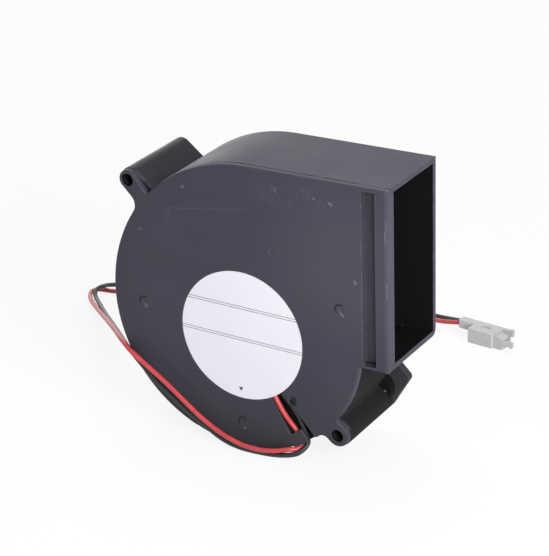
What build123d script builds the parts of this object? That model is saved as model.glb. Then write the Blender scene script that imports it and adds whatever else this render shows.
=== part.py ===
# Centrifugal dc blower: a flat moulded scroll with a rectangular outlet, an outside-rotor
# brushless motor carried by its cover, and two loose leads that end in a small connector.
# Millimetres. The rotor axis lies along Y, the labelled cover faces -Y, the inlet eye +Y,
# the outlet +X, and the scroll stands on Z = 0.
from build123d import *
from math import asin, atan2, cos, degrees, hypot, pi, radians, sin, sqrt, tan
import os

os.makedirs("parts", exist_ok=True)

# Housing, seen from the label side: how far its outside lies from the impeller's rim
outlet_run = 19.2          # to the mouth of the outlet
far_run = 15.0             # to the far side of the scroll
top_run = 24.9             # to the top of the duct
low_run = 7.1              # to the underside of the scroll
duct_drop = 2.5            # axis to the underside of the duct
depth = 33.0
top_arc_step = 2.6         # the arc over the top is this much wider than the far side's reach
tongue_arc_step = 4.55     # and the arc up to the tongue this much narrower
wall = 1.7
duct_corner_radius = 2.2   # long edge under the duct, on the inlet side
tongue_radius = 1.6

# Inlet eye
eye_radius = 27.5
eye_lip_radius = 1.3       # rounded entry
eye_collar_height = 0.8    # lip inside the eye, towards the impeller
eye_collar_wall = 1.6
eye_running_gap = 0.6      # from that lip to the impeller's end ring

# Mounting bosses: one hole beyond the scroll's top corner, one under the duct
upper_boss_reach = 7.44    # beyond the top arc
upper_boss_turn = 138.0    # degrees round that arc
lower_boss_reach = 3.35    # beyond the tongue's arc
lower_boss_turn = -42.26
mount_hole_radius = 2.15
upper_boss_radius = 3.45
lower_boss_radius = 4.1
ear_relief = 0.25          # the cover's ears are this much smaller all round than the tubes
web_root_depth = 2.4       # how far inside the scroll each web's round root lies
upper_web_half = 3.9       # half width of the housing's web at its root
lower_web_half = 4.1
ear_root_half = 2.6        # the same of the cover's upper ear, which narrows and leans
ear_lean = 1.4
upper_web_fillet = 4.0     # on the side away from the duct
lower_web_fillet = 2.4
web_corner_radius = 0.5    # on the side towards it
gusset_thickness = 2.5     # plate that ties the lower boss to the scroll at the inlet side
gusset_across = 8.0        # its corner, from the lower boss across and up
gusset_up = 8.5
gusset_corner_radius = 1.6
gusset_run = 5.0           # from that corner back to the scroll, across and up

# Cover
cover_thickness = 2.0
cover_edge_radius = 0.9
seam_width = 0.5           # shadow gap round the housing, just behind the cover
seam_depth = 0.4
rim_height = 1.2           # locating rim that drops inside the housing's wall
rim_wall = 1.2
fit_gap = 0.15             # clearance of the moulded parts that slot into each other
lip_depth = 4.8            # the cover's thick edge at the mouth
lip_length = 9.4
groove_land = 3.9          # flat between the mouth and the slot down the cover
groove_width = 4.5
groove_depth = 2.4
groove_end_gap = 1.3
label_radius = 21.65
label_thickness = 0.2
label_sink = 0.05          # how far the label's face lies below the cover's
ejector_marks_at = [(-35.9, 4.3), (35.7, 15.8), (-0.3, -30.2), (11.8, 30.6)]
ejector_mark_radius = 0.9
ejector_mark_depth = 0.2

# Lead trough: a tapered channel from under the label to the cover's edge
trough_angle = -54.0
trough_side = -0.93        # its centre line passes this far beside the axis
trough_start = 8.6         # inner end, beside the bearing tube
trough_near_half = 2.4     # half width where it leaves the label
trough_far_reach = 37.0
trough_far_half = 4.0      # half width at the cover's edge
trough_depth = 3.2
trough_wall = 1.0
window_length = 5.2        # opening from the trough into the motor
finger_start = 34.8        # hooked finger that holds the leads in
finger_tip_side = 1.0
finger_thickness = 1.1
core_pin_reach = 25.5      # small square mark of a mould pin beside the trough
core_pin_size = 1.4
core_pin_depth = 1.0

# Motor: bearing tube and bearings
shaft_radius = 1.5
shaft_start = 1.2
bearing_radius = 4.0
bearing_width = 3.0
race_thickness = 0.62
ball_radius = 0.68
ball_count = 7
ball_play = 0.04           # radial clearance of the balls in their grooves
cage_thickness = 0.3
tube_wall = 1.1
tube_start = 2.4
tube_length = 18.6
tube_shoulder = 0.7        # inward step that each bearing's outer ring seats on
lower_bearing_start = 4.6
upper_bearing_inset = 0.8  # upper bearing below the tube's end
seat_wall = 2.2
seat_height = 3.4          # cover boss that holds the tube
clip_thickness = 0.5
clip_radius = 2.9
washer_thickness = 0.5
washer_radius = 2.3
shaft_groove_depth = 0.35
glue_gap = 0.03            # clearance of pressed and glued metal parts

# Motor: stator and circuit board
stator_radius = 15.1
stator_start = 11.0
stator_height = 9.0
yoke_width = 2.6
pole_width = 5.4
shoe_thickness = 2.0
slot_width = 2.6
pole_count = 4
insulator_thickness = 1.3
insulator_inset = 0.3      # insulators stay inside the core's outline
coil_build = 2.2           # thickness of the winding round a pole
coil_gap = 0.12
board_radius = 17.0
board_thickness = 1.0
board_start = 5.6
board_peg_radius = 1.1
board_peg_reach = 12.6
pin_radius = 0.32
pin_reach = 14.1
pin_turn = 14.0            # degrees from each pole's middle
pin_tail = 0.7             # pin below the board
pin_hole_gap = 0.1
driver_size = (5.0, 4.0, 1.5)
driver_at = (10.4, 60.0)   # radius and angle on the board
driver_leg = (0.4, 0.9, 0.25)
driver_leg_pitch = 1.27
capacitor_size = (3.2, 1.6, 1.2)
capacitors_at = [(10.6, 158.0), (10.6, 184.0), (11.8, 210.0)]
resistor_size = (2.0, 1.25, 0.55)
resistors_at = [(10.8, 92.0), (10.8, 112.0), (14.6, 75.0), (14.6, 30.0), (10.5, 272.0)]
hall_size = (4.0, 1.6, 1.7)
hall_at = (15.4, 45.0)
post_length = 1.4          # solder posts that take the leads, on the board's underside
post_width = 1.4
post_reach = 9.6
post_side = 1.1
post_start = 1.3

# Rotor
cup_radius = 18.6
cup_wall = 1.0
cup_start = 8.6
cup_end = 25.6
magnet_thickness = 2.0
magnet_start = 9.4
magnet_height = 12.0
bush_radius = 4.6
bush_nose_radius = 2.6
bush_gap = 0.6             # bush above the bearing tube's end
bush_spigot_radius = 3.4
bush_spigot_rise = 0.4     # spigot above the cup, into the hub's cap
spring_height = 0.7
spring_thickness = 0.3

# Impeller
hub_wall = 1.5
hub_cap_thickness = 1.6
disc_start = 5.6
disc_thickness = 1.4
impeller_radius = 32.0
blade_inner_radius = 26.6
blade_thickness = 0.9
blade_count = 37
blade_lean = 7.0           # degrees that the tip leads the root, in the turning direction
blade_bow = 1.0            # how far a blade bellies behind its chord
ring_height = 1.6
ring_width = 1.7
hub_dimple_radius = 5.2
hub_dimple_depth = 0.5

# Leads and connector
lead_radius = 0.8
lead_bend_share = 0.45     # of the shorter run beside it that each bend takes up
connector_at = (23.4, 107.3, 2.6)
connector_heading = -7.6
connector_length = 10.2
connector_width = 7.6
connector_height = 5.2
connector_edge = 0.4
connector_neck_length = 6.4
connector_neck_width = 3.4
neck_side = 2.1            # the neck lies on the far half of the block
neck_rise = 1.15
neck_height = 2.9
nose_length = 3.4
nose_width = 6.2
nose_height = 4.4
slot_length = 2.6          # opening between the nose and the far arm
slot_width = 1.3
arm_length = 4.5
near_arm_length = 4.1      # this one from the end of the nose
near_arm_side = -2.45
arm_width = 1.3
arm_height = 1.9
near_arm_height = 1.4
arm_rise = 1.65            # the far arm's middle above the block's middle
barb_length = 1.0
barb_height = 0.3
latch_length = 3.4         # shallow window over the terminals
latch_width = 2.2
latch_depth = 0.4
terminal_pitch = 1.6
terminal_side = -0.35      # the pair's middle, clear of the slot
terminal_length = 2.4
terminal_bore = 0.7
pocket_depth = 3.0
pocket_size = 1.2

# Reaches from the rotor axis to the housing's outside
outlet_reach = impeller_radius + outlet_run
scroll_reach = impeller_radius + far_run
duct_rise = impeller_radius + top_run
scroll_drop = impeller_radius + low_run

# Frame: the origin is under the middle of the housing
axis_x = (scroll_reach - outlet_reach) / 2
axis_z = scroll_drop
front_y = -depth / 2

# Scroll arcs: each centre is stepped so that the arcs run into each other
top_arc_radius = scroll_reach + top_arc_step
tongue_arc_radius = scroll_reach - tongue_arc_step
top_arc_center = (top_arc_radius - scroll_reach, duct_rise - top_arc_radius)
low_arc_radius = top_arc_center[1] + scroll_drop
low_arc_center = (low_arc_radius - scroll_reach, top_arc_center[1])
tongue_arc_center = (low_arc_center[0], tongue_arc_radius - scroll_drop)

tongue_drop = wall - duct_drop - tongue_arc_center[1]
tongue_at = (
    tongue_arc_center[0] + sqrt((tongue_arc_radius - wall) ** 2 - tongue_drop**2),
    wall - duct_drop,
)


def point_round(center, radius, angle):
    """Point at a radius and an angle in degrees round a centre."""
    return (center[0] + radius * cos(radians(angle)), center[1] + radius * sin(radians(angle)))


upper_boss_at = point_round(top_arc_center, top_arc_radius + upper_boss_reach, upper_boss_turn)
lower_boss_at = point_round(tongue_arc_center, tongue_arc_radius + lower_boss_reach, lower_boss_turn)
gusset_corner_at = (lower_boss_at[0] + gusset_across, lower_boss_at[1] + gusset_up)
gusset_root_at = (gusset_corner_at[0] - gusset_run, gusset_corner_at[1] + gusset_run)

# Stations that other pieces are worked out from
cover_inner = cover_thickness
tube_radius = bearing_radius + tube_wall
tube_end = tube_start + tube_length
upper_bearing_start = tube_end - upper_bearing_inset - bearing_width
stator_end = stator_start + stator_height
bush_start = upper_bearing_start + bearing_width + spring_height
hub_inner_radius = cup_radius + glue_gap
hub_radius = hub_inner_radius + hub_wall
hub_end = cup_end + hub_cap_thickness
pitch_radius = (shaft_radius + bearing_radius) / 2
disc_end = disc_start + disc_thickness
blade_end = depth - wall - eye_collar_height - eye_running_gap


def station(reach):
    """Plane across the rotor axis, reach behind the cover's face, seen from the label side."""
    return Plane(origin=(axis_x, front_y + reach, axis_z), x_dir=(1, 0, 0), z_dir=(0, -1, 0))


axial = Plane(origin=(axis_x, front_y, axis_z), x_dir=(1, 0, 0), z_dir=(0, 0, 1))
rotor_axis = Axis((axis_x, front_y, axis_z), (0, 1, 0))


def polar(radius, angle):
    """Point at a radius and an angle in degrees round the rotor axis."""
    return point_round((0, 0), radius, angle)


def scroll_outline(inset, mouth, mode=Mode.ADD):
    """Draw the scroll and duct, inset from the outside, as far as the mouth."""
    top = duct_rise - inset
    floor = -duct_drop + inset
    radius = tongue_arc_radius - inset
    turn = degrees(asin((floor - tongue_arc_center[1]) / radius))
    tongue_x = tongue_arc_center[0] + radius * cos(radians(turn))
    with BuildLine(Plane.XY) as outline:
        Line((mouth, floor), (mouth, top))
        Line((mouth, top), (top_arc_center[0], top))
        CenterArc(top_arc_center, top_arc_radius - inset, 90, 90)
        CenterArc(low_arc_center, low_arc_radius - inset, 180, 90)
        CenterArc(tongue_arc_center, radius, -90, 90 + turn)
        Line((tongue_x, floor), (mouth, floor))
    make_face(outline.edges(), mode=mode)


def web_to_scroll(boss_at, radius, arc_center, arc_radius, root_half, lean):
    """Draw a boss and the web that joins it to the scroll, and give the web's two corners."""
    away = Vector(boss_at[0] - arc_center[0], boss_at[1] - arc_center[1])
    heading = degrees(atan2(away.Y, away.X)) + lean
    root_at = point_round(arc_center, arc_radius - web_root_depth, heading)
    with BuildLine(Plane.XY) as circles:
        CenterArc(boss_at, radius, 0, 360)
        CenterArc(root_at, root_half, 0, 360)
    make_hull(circles.edges())
    spread = degrees(asin(root_half / arc_radius))
    return [point_round(arc_center, arc_radius, heading + side) for side in (-spread, spread)]


def body_outline(inset, relief, upper_half, lean):
    """Draw the scroll with both ears, inset from the outside, and give the webs' corners."""
    scroll_outline(inset, outlet_reach)
    slimmer = inset + relief
    upper_radius = upper_boss_radius - slimmer
    lower_radius = lower_boss_radius - slimmer
    top_radius = top_arc_radius - inset
    low_radius = tongue_arc_radius - inset
    upper = web_to_scroll(upper_boss_at, upper_radius, top_arc_center, top_radius, upper_half - inset, lean)
    lower_half = lower_web_half - slimmer
    lower = web_to_scroll(lower_boss_at, lower_radius, tongue_arc_center, low_radius, lower_half, 0)
    return upper[0], upper[1], lower[1], lower[0]


def round_web_corners(sketch, corners, inset):
    """Fillet the sketch's corners that lie nearest to the given points."""
    sizes = (web_corner_radius, upper_web_fillet, web_corner_radius, lower_web_fillet)
    for corner_at, size in zip(corners, sizes):
        corner = sketch.vertices().sort_by_distance(Vector(corner_at[0], corner_at[1], 0))[0]
        fillet(corner, size + inset)


def trough_point(reach, side):
    """Point along the trough's centre line and to one side of it."""
    along = radians(trough_angle)
    across = trough_side + side
    return (reach * cos(along) - across * sin(along), reach * sin(along) + across * cos(along))


def trough_half_at(reach):
    """Half width of the trough, straight under the label and flared beyond it."""
    slope = (trough_far_half - trough_near_half) / (trough_far_reach - label_radius)
    return trough_near_half + slope * max(reach - label_radius, 0)


def trough_shape(start, end, margin, mode=Mode.ADD):
    """Draw a stretch of the trough, wider by a margin on each side."""
    stops = [start, label_radius, end] if start < label_radius < end else [start, end]
    edge = [trough_point(stop, -trough_half_at(stop) - margin) for stop in stops]
    edge += [trough_point(stop, trough_half_at(stop) + margin) for stop in reversed(stops)]
    with BuildLine(Plane.XY) as outline:
        Polyline(*edge, close=True)
    make_face(outline.edges(), mode=mode)


trough_end = trough_far_reach + 2 * trough_far_half
window_end = trough_start + window_length

# Scroll housing: inlet face, scroll wall, duct, boss tubes and gusset in one moulding
with BuildPart() as scroll_housing:
    with BuildSketch(station(depth)) as outer:
        web_corners = body_outline(0, 0, upper_web_half, 0)
        round_web_corners(outer, web_corners, 0)
    extrude(amount=depth - cover_inner - seam_width)
    with BuildSketch(station(cover_inner + seam_width)) as seam:
        web_corners = body_outline(seam_depth, 0, upper_web_half, 0)
        round_web_corners(seam, web_corners, seam_depth)
    extrude(amount=seam_width)
    with BuildSketch(station(depth)):
        with BuildLine():
            CenterArc(lower_boss_at, lower_boss_radius, 0, 360)
            CenterArc(gusset_corner_at, gusset_corner_radius, 0, 360)
            CenterArc(gusset_root_at, gusset_corner_radius, 0, 360)
        make_hull()
    extrude(amount=gusset_thickness)
    duct_edge = scroll_housing.edges().filter_by(Axis.X).sort_by(Axis.Z)[:2].sort_by(Axis.Y)[-1]
    fillet(duct_edge, duct_corner_radius)
    with BuildSketch(station(depth - wall)) as cavity:
        scroll_outline(wall, outlet_reach + wall)
        fillet(cavity.vertices().sort_by_distance(Vector(tongue_at[0], tongue_at[1]))[0], tongue_radius)
    extrude(amount=depth - wall - cover_inner, mode=Mode.SUBTRACT)
    with BuildSketch(station(depth)):
        Circle(eye_radius + eye_collar_wall)
    extrude(amount=wall + eye_collar_height)
    with BuildSketch(station(depth)):
        Circle(eye_radius)
    extrude(amount=wall + eye_collar_height, mode=Mode.SUBTRACT)
    eye_edge = scroll_housing.edges().filter_by(GeomType.CIRCLE).sort_by(Axis.Y)
    fillet(eye_edge.filter_by(lambda e: abs(e.radius - eye_radius) < 1e-3)[-1], eye_lip_radius)
    with BuildSketch(station(depth)):
        with Locations(upper_boss_at, lower_boss_at):
            Circle(mount_hole_radius)
    extrude(amount=depth - cover_inner, mode=Mode.SUBTRACT)
    with BuildSketch(station(trough_depth + trough_wall + fit_gap)):
        trough_shape(label_radius, trough_end, trough_wall + fit_gap)
    extrude(amount=trough_depth + trough_wall + fit_gap - cover_inner, mode=Mode.SUBTRACT)
scroll_housing.part.label = "scroll_housing"
export_step(scroll_housing.part, "parts/scroll_housing.step")
print("scroll_housing", scroll_housing.part.volume, len(scroll_housing.part.solids()))

# Cover: motor-side plate with ears, locating rim, mouth lip, lead trough and motor seat
with BuildPart() as motor_side_cover:
    with BuildSketch(station(cover_inner)) as plate:
        web_corners = body_outline(0, ear_relief, ear_root_half, ear_lean)
        round_web_corners(plate, web_corners, 0)
    extrude(amount=cover_thickness)
    face_edges = motor_side_cover.faces().sort_by(Axis.Y)[0].outer_wire().edges()
    fillet(face_edges, cover_edge_radius)
    with BuildSketch(station(cover_inner + rim_height)):
        scroll_outline(wall + fit_gap, outlet_reach - lip_length)
        scroll_outline(wall + fit_gap + rim_wall, outlet_reach, mode=Mode.SUBTRACT)
    extrude(amount=rim_height)
    with BuildSketch(station(lip_depth)):
        with Locations((outlet_reach - lip_length / 2, (duct_rise - duct_drop) / 2)):
            Rectangle(lip_length, duct_rise + duct_drop - 2 * (wall + fit_gap))
    extrude(amount=lip_depth - cover_inner)
    with BuildSketch(station(trough_depth + trough_wall)):
        scroll_outline(0, outlet_reach)
        trough_shape(trough_start - trough_wall, trough_end, trough_wall, mode=Mode.INTERSECT)
    extrude(amount=trough_depth + trough_wall - cover_inner)
    with BuildSketch(station(cover_inner + seat_height)):
        Circle(tube_radius + seat_wall)
    extrude(amount=seat_height)
    with BuildSketch(station(board_start)):
        with PolarLocations(board_peg_reach, 3, start_angle=trough_angle + 60):
            Circle(board_peg_radius)
    extrude(amount=board_start - cover_inner)
    with BuildSketch(station(cover_inner + seat_height)):
        Circle(tube_radius + glue_gap)
    extrude(amount=cover_inner + seat_height - tube_start, mode=Mode.SUBTRACT)
    with BuildSketch(station(cover_inner + seat_height)):
        Circle(bearing_radius - tube_shoulder)
    extrude(amount=cover_inner + seat_height, mode=Mode.SUBTRACT)
    with BuildSketch(station(label_sink + label_thickness)):
        Circle(label_radius + fit_gap)
    extrude(amount=label_sink + label_thickness, mode=Mode.SUBTRACT)
    with BuildSketch(station(groove_depth)):
        groove_x = outlet_reach - groove_land - groove_width / 2
        with Locations((groove_x, (duct_rise - duct_drop) / 2)):
            Rectangle(groove_width, duct_rise + duct_drop - 2 * groove_end_gap)
    extrude(amount=groove_depth, mode=Mode.SUBTRACT)
    with BuildSketch(station(trough_depth)):
        trough_shape(trough_start, trough_end, 0)
    extrude(amount=trough_depth, mode=Mode.SUBTRACT)
    with BuildSketch(station(trough_depth + trough_wall)):
        trough_shape(trough_start, window_end, 0)
    extrude(amount=trough_wall, mode=Mode.SUBTRACT)
    with BuildSketch(station(finger_thickness)):
        scroll_outline(0, outlet_reach)
        with BuildLine(Plane.XY) as finger:
            Polyline(
                trough_point(finger_start, -trough_far_half - trough_wall),
                trough_point(trough_end, -trough_far_half - trough_wall),
                trough_point(trough_end, finger_tip_side),
                trough_point(finger_start, finger_tip_side),
                close=True,
            )
        make_face(finger.edges(), mode=Mode.INTERSECT)
    extrude(amount=finger_thickness)
    with BuildSketch(station(core_pin_depth)):
        core_pin_side = trough_half_at(core_pin_reach) + core_pin_size / 2 - fit_gap
        pin_at = trough_point(core_pin_reach, core_pin_side)
        with Locations(Location((pin_at[0], pin_at[1], 0), (0, 0, 1), trough_angle)):
            Rectangle(core_pin_size, core_pin_size)
    extrude(amount=core_pin_depth, mode=Mode.SUBTRACT)
    with BuildSketch(station(ejector_mark_depth)):
        with Locations(*ejector_marks_at):
            Circle(ejector_mark_radius)
    extrude(amount=ejector_mark_depth, mode=Mode.SUBTRACT)
    with BuildSketch(station(cover_inner)):
        with Locations(upper_boss_at, lower_boss_at):
            Circle(mount_hole_radius)
    extrude(amount=cover_inner, mode=Mode.SUBTRACT)
motor_side_cover.part.label = "motor_side_cover"
export_step(motor_side_cover.part, "parts/motor_side_cover.step")

# Blank label, let into the cover over the motor
with BuildPart() as label:
    with BuildSketch(station(label_sink + label_thickness)):
        Circle(label_radius)
    extrude(amount=label_thickness)
label.part.label = "label"
export_step(label.part, "parts/label.step")


def export_piece(piece, name):
    """Name a finished piece and write it to its own file."""
    piece.part.label = name
    export_step(piece.part, f"parts/{name}.step")


# Bearing tube, turned brass, with a step that each bearing seats against
with BuildPart() as bearing_tube:
    with BuildSketch(axial):
        lower_step = lower_bearing_start + bearing_width
        with BuildLine():
            Polyline(
                (bearing_radius, tube_start),
                (tube_radius, tube_start),
                (tube_radius, tube_end),
                (bearing_radius, tube_end),
                (bearing_radius, upper_bearing_start),
                (bearing_radius - tube_shoulder, upper_bearing_start),
                (bearing_radius - tube_shoulder, lower_step),
                (bearing_radius, lower_step),
                close=True,
            )
        make_face()
    revolve(axis=rotor_axis)
export_piece(bearing_tube, "bearing_tube")


def ring(inner, outer, start, end):
    """Plain ring round the rotor axis, between two stations."""
    with BuildPart() as piece:
        with BuildSketch(station(end)) as section:
            Circle(outer)
            Circle(inner, mode=Mode.SUBTRACT)
        extrude(section.sketch, amount=end - start)
    return piece


groove_radius = ball_radius + ball_play
outer_race_inner = bearing_radius - race_thickness
inner_race_outer = shaft_radius + race_thickness

# Two small shielded ball bearings, each in its own races, balls and cage
for end_name, start in (("lower", lower_bearing_start), ("upper", upper_bearing_start)):
    middle = start + bearing_width / 2
    with BuildPart() as outer_ring:
        with BuildSketch(axial):
            shield_end = inner_race_outer + glue_gap * 4
            shield = cage_thickness
            with BuildLine():
                Polyline(
                    (shield_end, start),
                    (bearing_radius - glue_gap, start),
                    (bearing_radius - glue_gap, start + bearing_width),
                    (shield_end, start + bearing_width),
                    (shield_end, start + bearing_width - shield),
                    (outer_race_inner, start + bearing_width - shield),
                    (outer_race_inner, start + shield),
                    (shield_end, start + shield),
                    close=True,
                )
            make_face()
            with Locations((pitch_radius, middle)):
                Circle(groove_radius, mode=Mode.SUBTRACT)
        revolve(axis=rotor_axis)
    export_piece(outer_ring, end_name + "_bearing_outer_ring")
    with BuildPart() as inner_ring:
        with BuildSketch(axial):
            with Locations(((shaft_radius + glue_gap + inner_race_outer) / 2, middle)):
                Rectangle(inner_race_outer - shaft_radius - glue_gap, bearing_width)
            with Locations((pitch_radius, middle)):
                Circle(groove_radius, mode=Mode.SUBTRACT)
        revolve(axis=rotor_axis)
    export_piece(inner_ring, end_name + "_bearing_inner_ring")
    with BuildPart() as balls:
        with Locations(station(middle)):
            with PolarLocations(pitch_radius, ball_count):
                Sphere(ball_radius)
    export_piece(balls, end_name + "_bearing_balls")
    with BuildPart() as cage:
        cage_start = middle + ball_radius + ball_play
        with BuildSketch(station(cage_start + cage_thickness)):
            Circle(outer_race_inner - 2 * ball_play)
            Circle(inner_race_outer + 2 * ball_play, mode=Mode.SUBTRACT)
        extrude(amount=cage_thickness)
        with BuildSketch(station(cage_start)):
            with PolarLocations(pitch_radius, ball_count, start_angle=180 / ball_count):
                Rectangle(race_thickness, race_thickness)
        extrude(amount=ball_radius + ball_play)
    export_piece(cage, end_name + "_bearing_cage")


def stator_profile(inset):
    """Draw the stator's yoke, poles and shoes, inset from the core's outline."""
    bore = tube_radius + glue_gap
    window = stator_radius - shoe_thickness
    Circle(stator_radius - inset)
    Circle(window + inset, mode=Mode.SUBTRACT)
    Circle(bore + yoke_width - inset)
    with PolarLocations((window + bore) / 2, pole_count):
        Rectangle(window - bore + 2 * inset, pole_width - 2 * inset)
    with PolarLocations(stator_radius, pole_count, start_angle=180 / pole_count):
        Rectangle(3 * shoe_thickness, slot_width + 2 * inset, mode=Mode.SUBTRACT)
    Circle(bore + inset, mode=Mode.SUBTRACT)


with BuildPart() as stator_core:
    with BuildSketch(station(stator_end)):
        stator_profile(0)
    extrude(amount=stator_height)
export_piece(stator_core, "stator_core")

lower_insulator_start = stator_start - insulator_thickness
insulators = (("lower", stator_start), ("upper", stator_end + insulator_thickness))
for end_name, end in insulators:
    with BuildPart() as insulator:
        with BuildSketch(station(end)):
            stator_profile(insulator_inset)
        extrude(amount=insulator_thickness)
    export_piece(insulator, end_name + "_insulator")

# Windings, one round each pole and its two insulators
coil_inner_half = pole_width / 2 + coil_gap
coil_outer_half = coil_inner_half + coil_build
coil_near = tube_radius + glue_gap + yoke_width + coil_gap
coil_far = sqrt((stator_radius - shoe_thickness) ** 2 - coil_outer_half**2) - coil_gap
coil_inner_height = stator_height + 2 * (insulator_thickness + coil_gap)
coil_middle = (stator_start + stator_end) / 2
with BuildPart() as stator_coils:
    for turn in range(pole_count):
        around = radians(360 / pole_count * turn)
        outward = Vector(cos(around), 0, sin(around))
        middle_point = Vector(axis_x, front_y + coil_middle, axis_z)
        coil_plane = Plane(origin=middle_point + outward * coil_near, x_dir=(0, 1, 0), z_dir=outward)
        with BuildSketch(coil_plane):
            RectangleRounded(coil_inner_height + 2 * coil_build, 2 * coil_outer_half, coil_build)
            Rectangle(coil_inner_height, 2 * coil_inner_half, mode=Mode.SUBTRACT)
        extrude(amount=coil_far - coil_near)
export_piece(stator_coils, "stator_coils")

# Circuit board between cover and stator, with its parts
board_end = board_start + board_thickness
pin_angles = [360 / pole_count * turn + pin_turn for turn in range(pole_count)]
pins_at = [polar(pin_reach, angle) for angle in pin_angles]
with BuildPart() as circuit_board:
    with BuildSketch(station(board_end)):
        Circle(board_radius)
        Circle(tube_radius + fit_gap, mode=Mode.SUBTRACT)
        with Locations(*pins_at):
            Circle(pin_radius + pin_hole_gap, mode=Mode.SUBTRACT)
    extrude(amount=board_thickness)
export_piece(circuit_board, "circuit_board")

with BuildPart() as terminal_pins:
    with BuildSketch(station(lower_insulator_start)):
        with Locations(*pins_at):
            Circle(pin_radius)
    extrude(amount=lower_insulator_start - board_start + pin_tail)
export_piece(terminal_pins, "terminal_pins")


def board_chips(spots, size, start):
    """Chips of one size, each turned to its own radius on the board."""
    with BuildPart() as chips:
        for radius, angle in spots:
            x, y = polar(radius, angle)
            with BuildSketch(station(start + size[2])) as pad:
                with Locations(Location((x, y, 0), (0, 0, 1), angle + 90)):
                    Rectangle(size[0], size[1])
            extrude(pad.sketch, amount=size[2])
        chamfer(chips.faces().group_by(Axis.Y)[0].edges(), size[2] * 0.15)
    return chips


with BuildPart() as driver_ic:
    along, across, thickness = driver_size
    x, y = polar(*driver_at)
    body_at = Location((x, y, 0), (0, 0, 1), driver_at[1] + 90)
    with BuildSketch(station(board_start - driver_leg[2])):
        with Locations(body_at):
            Rectangle(along, across)
    extrude(amount=thickness)
    chamfer(driver_ic.faces().sort_by(Axis.Y)[0].edges(), driver_leg[2])
    with BuildSketch(station(board_start)):
        with Locations(body_at):
            for side in (-1, 1):
                for leg in range(4):
                    offset = (leg - 1.5) * driver_leg_pitch
                    with Locations((offset, side * (across / 2 + driver_leg[1] / 4))):
                        Rectangle(driver_leg[0], driver_leg[1] * 1.5)
    extrude(amount=2 * driver_leg[2])
export_piece(driver_ic, "driver_ic")
export_piece(board_chips(capacitors_at, capacitor_size, board_start - capacitor_size[2]), "capacitors")
export_piece(board_chips(resistors_at, resistor_size, board_start - resistor_size[2]), "resistors")
export_piece(board_chips([hall_at], hall_size, board_end), "hall_sensor")

with BuildPart() as solder_posts:
    with BuildSketch(station(board_start)):
        for side in (-post_side, post_side):
            x, y = trough_point(post_reach, side)
            with Locations(Location((x, y, 0), (0, 0, 1), trough_angle)):
                Rectangle(post_length, post_width)
    extrude(amount=board_start - post_start)
export_piece(solder_posts, "solder_posts")

# Rotor: shaft, clip, washer, spring, bush, steel cup and magnet
clip_start = lower_bearing_start - washer_thickness - clip_thickness
with BuildPart() as shaft:
    shaft_end = cup_end + bush_spigot_rise
    shaft_groove_radius = shaft_radius - shaft_groove_depth
    with BuildSketch(axial):
        with BuildLine():
            Polyline(
                (0, shaft_start),
                (shaft_radius, shaft_start),
                (shaft_radius, clip_start - glue_gap),
                (shaft_groove_radius, clip_start - glue_gap),
                (shaft_groove_radius, clip_start + clip_thickness),
                (shaft_radius, clip_start + clip_thickness),
                (shaft_radius, shaft_end),
                (0, shaft_end),
                close=True,
            )
        make_face()
    revolve(axis=rotor_axis)
    chamfer(shaft.faces().sort_by(Axis.Y)[0].edges(), shaft_groove_depth)
export_piece(shaft, "shaft")

with BuildPart() as retaining_clip:
    with BuildSketch(station(clip_start + clip_thickness)):
        Circle(clip_radius)
        Circle(shaft_groove_radius + glue_gap, mode=Mode.SUBTRACT)
        with Locations((clip_radius, 0)):
            Rectangle(2 * clip_radius, 2 * shaft_groove_radius - shaft_groove_depth, mode=Mode.SUBTRACT)
    extrude(amount=clip_thickness)
export_piece(retaining_clip, "retaining_clip")

washer = ring(shaft_radius + glue_gap, washer_radius, clip_start + clip_thickness, lower_bearing_start)
export_piece(washer, "washer")

with BuildPart() as preload_spring:
    spring_start = upper_bearing_start + bearing_width
    spring_bore = shaft_radius + 2 * glue_gap
    with BuildSketch(axial):
        with BuildLine():
            Polyline(
                (spring_bore, spring_start),
                (spring_bore, spring_start + spring_thickness),
                (bush_nose_radius, bush_start),
                (bush_nose_radius, bush_start - spring_thickness),
                close=True,
            )
        make_face()
    revolve(axis=rotor_axis)
export_piece(preload_spring, "preload_spring")

with BuildPart() as rotor_bush:
    bush_bore = shaft_radius + glue_gap
    with BuildSketch(axial):
        with BuildLine():
            Polyline(
                (bush_bore, bush_start),
                (bush_nose_radius, bush_start),
                (bush_nose_radius, tube_end + bush_gap),
                (bush_radius, tube_end + bush_gap),
                (bush_radius, cup_end - cup_wall),
                (bush_spigot_radius, cup_end - cup_wall),
                (bush_spigot_radius, cup_end + bush_spigot_rise),
                (bush_bore, cup_end + bush_spigot_rise),
                close=True,
            )
        make_face()
    revolve(axis=rotor_axis)
export_piece(rotor_bush, "rotor_bush")

with BuildPart() as rotor_cup:
    cup_inner = cup_radius - cup_wall
    with BuildSketch(axial):
        with BuildLine():
            Polyline(
                (cup_inner, cup_start),
                (cup_radius, cup_start),
                (cup_radius, cup_end),
                (bush_spigot_radius + glue_gap, cup_end),
                (bush_spigot_radius + glue_gap, cup_end - cup_wall),
                (cup_inner, cup_end - cup_wall),
                close=True,
            )
        make_face()
    revolve(axis=rotor_axis)
    fillet(rotor_cup.edges().group_by(Axis.Y)[-1].sort_by(SortBy.RADIUS)[-1], cup_wall)
export_piece(rotor_cup, "rotor_cup")

magnet_outer = cup_inner - glue_gap
magnet_ring = ring(magnet_outer - magnet_thickness, magnet_outer, magnet_start, magnet_start + magnet_height)
export_piece(magnet_ring, "magnet_ring")

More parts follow.
